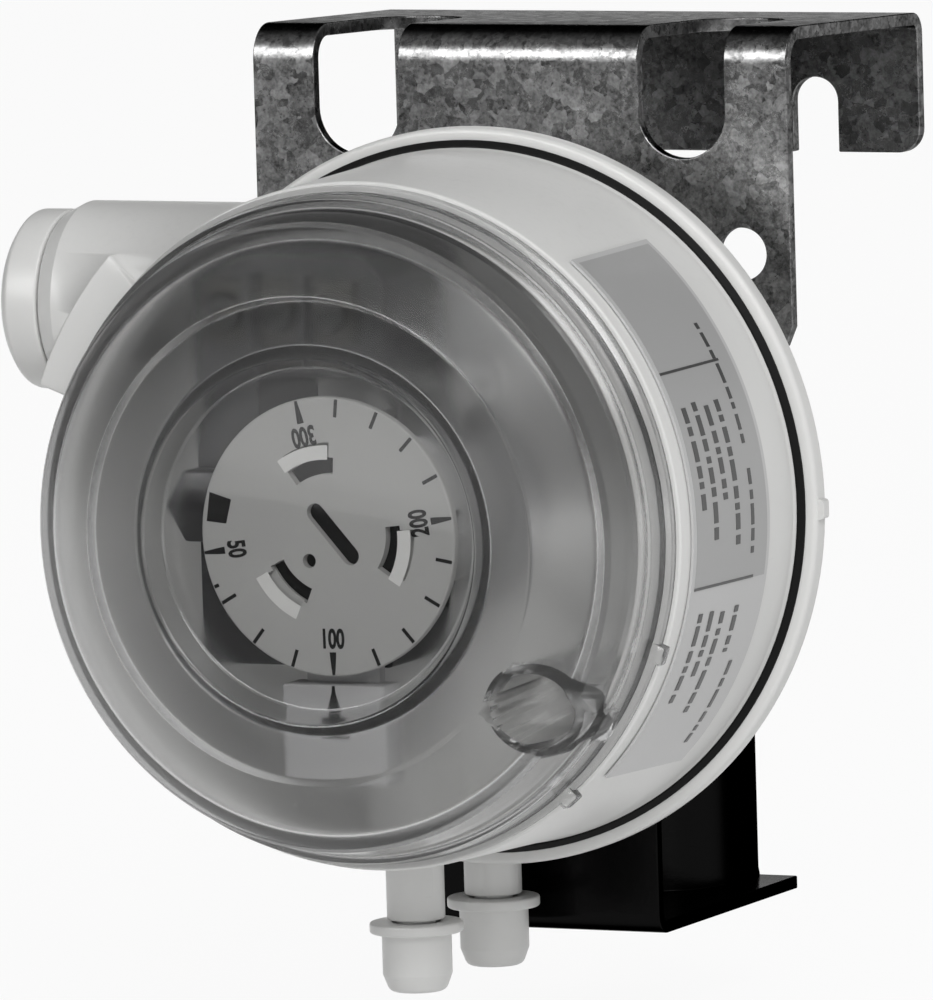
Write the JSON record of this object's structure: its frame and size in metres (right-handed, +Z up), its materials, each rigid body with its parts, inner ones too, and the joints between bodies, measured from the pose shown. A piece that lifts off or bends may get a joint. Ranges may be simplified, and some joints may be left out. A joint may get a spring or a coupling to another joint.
{
  "type": "differential pressure switch",
  "caption": "Round housing switch for low air pressure: clear cover over a set-point dial and snap switch, side cable gland, two capped ports and a folded wall bracket.",
  "frame": {"origin": "middle of the bracket's rear flange, on the face that lies against the wall", "axes": "+Y into the wall, -Y is the front where the dial looks, +X to the right as seen from the front, +Z up; the ports point down"},
  "size_m": [0.0883, 0.0966, 0.105],
  "materials": {
    "pale_plastic": "fine satin, moulded",
    "clear_plastic": "smoky clear moulding, polished",
    "black_plastic": "satin",
    "rubber": "matt",
    "silicone": "matt",
    "zinc_steel": "hot-dip galvanised, spangled",
    "bright_steel": "bright zinc plated",
    "brass": "tinned brass",
    "label_film": "printed film"
  },
  "bodies": {
    "housing": {"rear_housing": "pale_plastic", "front_housing": "pale_plastic", "cover": "clear_plastic", "cover_seal": "rubber", "cover_screw": "bright_steel", "label": "label_film", "gland_bush": "rubber", "diaphragm": "silicone", "lever_pin": "bright_steel", "dial_frame": "pale_plastic", "snap_switch": "black_plastic", "switch_screw": "black_plastic", "terminal_1": "brass", "terminal_2": "brass", "terminal_3": "brass", "terminal_screw_1": "bright_steel", "terminal_screw_2": "bright_steel", "terminal_screw_3": "bright_steel", "bracket": "zinc_steel", "bracket_screw_upper": "bright_steel", "bracket_screw_lower": "bright_steel"},
    "dial": {"dial": "pale_plastic"},
    "spring_nut": {"spring_nut": "pale_plastic"},
    "plunger": {"diaphragm_plate": "pale_plastic", "plunger_pin": "bright_steel"},
    "lever": {"lever": "bright_steel", "spring": "bright_steel"},
    "button": {"switch_button": "black_plastic"},
    "gland_nut": {"gland_nut": "pale_plastic"},
    "cap_front": {"port_cap_front": "pale_plastic"},
    "cap_rear": {"port_cap_rear": "pale_plastic"}
  },
  "joints": [
    {"name": "dial_turn", "type": "hinge", "parent": "housing", "child": "dial", "pos_m": [0, -0.0912, -0.04225], "axis": [0, -1, 0], "range_deg": [-195, 84]},
    {"name": "nut_travel", "type": "slide", "parent": "housing", "child": "spring_nut", "axis": [0, -1, 0], "range_m": [-0.00255, 0.00109]},
    {"name": "diaphragm_stroke", "type": "slide", "parent": "housing", "child": "plunger", "axis": [0, -1, 0], "range_m": [0, 0.0008], "stiffness_N_per_m": 200},
    {"name": "lever_tilt", "type": "hinge", "parent": "housing", "child": "lever", "pos_m": [0, -0.0643, -0.02825], "axis": [-1, 0, 0], "range_deg": [0, 3.3], "deforming": ["spring"]},
    {"name": "button_press", "type": "slide", "parent": "housing", "child": "button", "axis": [0, -1, 0], "range_m": [0, 0.00157]},
    {"name": "gland_nut_turn", "type": "hinge", "parent": "housing", "child": "gland_nut", "pos_m": [-0.044, -0.07, -0.01855], "axis": [-1, 0, 0], "continuous": true},
    {"name": "cap_front_pull", "type": "slide", "parent": "housing", "child": "cap_front", "axis": [0, 0, -1], "range_m": [0, 0.0075]},
    {"name": "cap_rear_pull", "type": "slide", "parent": "housing", "child": "cap_rear", "axis": [0, 0, -1], "range_m": [0, 0.0075]}
  ],
  "couplings": [
    {"joint": "dial_turn", "follows": "nut_travel", "rad_per_m": 1333.3},
    {"joint": "lever_tilt", "follows": "diaphragm_stroke", "rad_per_m": 71.43},
    {"joint": "button_press", "follows": "diaphragm_stroke", "ratio": 1.9286}
  ]
}
